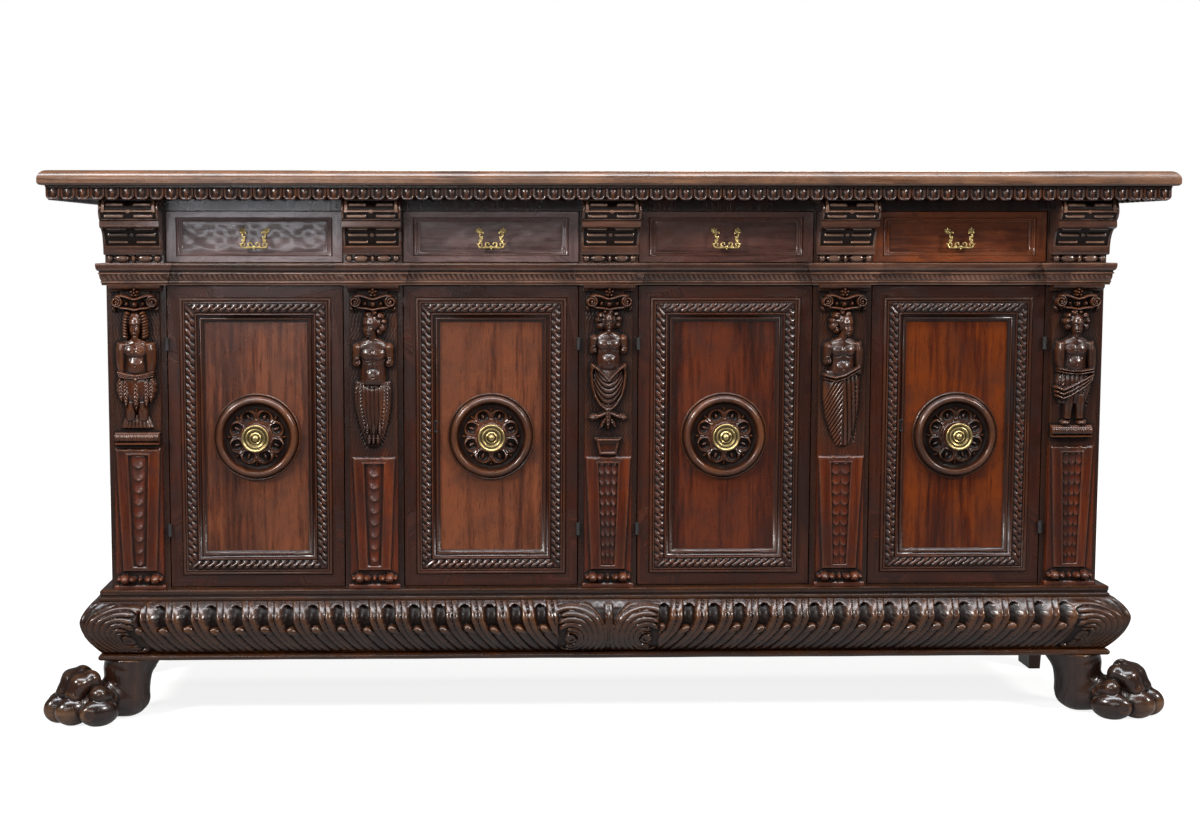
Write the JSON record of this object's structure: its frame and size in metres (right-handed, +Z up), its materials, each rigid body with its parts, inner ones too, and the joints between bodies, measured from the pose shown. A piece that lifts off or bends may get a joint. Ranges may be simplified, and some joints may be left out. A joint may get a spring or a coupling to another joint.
{
  "type": "credenza",
  "caption": "Long carved walnut credenza with cupboards under drawers, figured pilasters, turned rosettes with brass knobs, a gadrooned plinth and lion paw feet.",
  "frame": {"origin": "on the floor, in the middle of the overall box", "axes": "+X along the front to the viewer's right, +Y from the front to the back, +Z up"},
  "size_m": [2.3928, 0.6, 1.16],
  "materials": {
    "walnut_carved": "dark waxed walnut, carved",
    "walnut_panel": "waxed walnut panel, straight grain",
    "walnut_top": "waxed walnut with worn edges",
    "secondary_wood": "plain planed walnut, inside and back",
    "iron": "blackened wrought iron",
    "brass": "aged brass"
  },
  "bodies": {
    "root": {"top_board": "walnut_top", "top_moulding": "walnut_carved", "front_frame": "walnut_carved", "waist_cornice": "walnut_carved", "case_ends": "walnut_carved", "back_panel": "secondary_wood", "bottom_board": "secondary_wood", "drawer_deck": "secondary_wood", "partitions": "secondary_wood", "shelves": "secondary_wood", "drawer_guides": "secondary_wood", "plinth_frame": "secondary_wood", "base_moulding": "walnut_carved", "paw_feet": "walnut_carved", "rear_feet": "walnut_carved", "hinge_eyes": "iron", "consoles": "walnut_carved", "pilaster_1": "walnut_carved", "pilaster_2": "walnut_carved", "pilaster_3": "walnut_carved", "pilaster_4": "walnut_carved", "pilaster_5": "walnut_carved"},
    "door_1": {"door_1_frame": "walnut_carved", "door_1_panel": "walnut_panel", "door_1_rosette": "walnut_carved", "door_1_knob": "brass", "door_1_hinges": "iron"},
    "door_2": {"door_2_frame": "walnut_carved", "door_2_panel": "walnut_panel", "door_2_rosette": "walnut_carved", "door_2_knob": "brass", "door_2_hinges": "iron"},
    "door_3": {"door_3_frame": "walnut_carved", "door_3_panel": "walnut_panel", "door_3_rosette": "walnut_carved", "door_3_knob": "brass", "door_3_hinges": "iron"},
    "door_4": {"door_4_frame": "walnut_carved", "door_4_panel": "walnut_panel", "door_4_rosette": "walnut_carved", "door_4_knob": "brass", "door_4_hinges": "iron"},
    "bolt_2": {"door_2_bolt": "iron"},
    "bolt_4": {"door_4_bolt": "iron"},
    "drawer_1": {"drawer_1_front": "walnut_panel", "drawer_1_box": "secondary_wood", "drawer_1_posts": "brass"},
    "bail_1": {"drawer_1_bail": "brass"},
    "drawer_2": {"drawer_2_front": "walnut_panel", "drawer_2_box": "secondary_wood", "drawer_2_posts": "brass"},
    "bail_2": {"drawer_2_bail": "brass"},
    "drawer_3": {"drawer_3_front": "walnut_panel", "drawer_3_box": "secondary_wood", "drawer_3_posts": "brass"},
    "bail_3": {"drawer_3_bail": "brass"},
    "drawer_4": {"drawer_4_front": "walnut_panel", "drawer_4_box": "secondary_wood", "drawer_4_posts": "brass"},
    "bail_4": {"drawer_4_bail": "brass"}
  },
  "joints": [
    {"name": "door_1_hinge", "type": "hinge", "parent": "root", "child": "door_1", "pos_m": [-0.929, -0.19, 0.6035], "axis": [0, 0, -1], "range_deg": [0, 100]},
    {"name": "door_2_hinge", "type": "hinge", "parent": "root", "child": "door_2", "pos_m": [-0.063, -0.19, 0.6035], "axis": [0, 0, 1], "range_deg": [0, 95]},
    {"name": "door_3_hinge", "type": "hinge", "parent": "root", "child": "door_3", "pos_m": [0.063, -0.19, 0.6035], "axis": [0, 0, -1], "range_deg": [0, 95]},
    {"name": "door_4_hinge", "type": "hinge", "parent": "root", "child": "door_4", "pos_m": [0.929, -0.19, 0.6035], "axis": [0, 0, 1], "range_deg": [0, 100]},
    {"name": "bolt_2_slide", "type": "slide", "parent": "door_2", "child": "bolt_2", "axis": [-1, 0, 0], "range_m": [0, 0.01]},
    {"name": "bolt_4_slide", "type": "slide", "parent": "door_4", "child": "bolt_4", "axis": [-1, 0, 0], "range_m": [0, 0.01]},
    {"name": "drawer_1_slide", "type": "slide", "parent": "root", "child": "drawer_1", "axis": [0, -1, 0], "range_m": [0, 0.28]},
    {"name": "bail_1_swing", "type": "hinge", "parent": "drawer_1", "child": "bail_1", "pos_m": [-0.744, -0.193, 1.0345], "axis": [-1, 0, 0], "range_deg": [0, 95]},
    {"name": "drawer_2_slide", "type": "slide", "parent": "root", "child": "drawer_2", "axis": [0, -1, 0], "range_m": [0, 0.28]},
    {"name": "bail_2_swing", "type": "hinge", "parent": "drawer_2", "child": "bail_2", "pos_m": [-0.248, -0.193, 1.0345], "axis": [-1, 0, 0], "range_deg": [0, 95]},
    {"name": "drawer_3_slide", "type": "slide", "parent": "root", "child": "drawer_3", "axis": [0, -1, 0], "range_m": [0, 0.28]},
    {"name": "bail_3_swing", "type": "hinge", "parent": "drawer_3", "child": "bail_3", "pos_m": [0.248, -0.193, 1.0345], "axis": [-1, 0, 0], "range_deg": [0, 95]},
    {"name": "drawer_4_slide", "type": "slide", "parent": "root", "child": "drawer_4", "axis": [0, -1, 0], "range_m": [0, 0.28]},
    {"name": "bail_4_swing", "type": "hinge", "parent": "drawer_4", "child": "bail_4", "pos_m": [0.744, -0.193, 1.0345], "axis": [-1, 0, 0], "range_deg": [0, 95]}
  ]
}
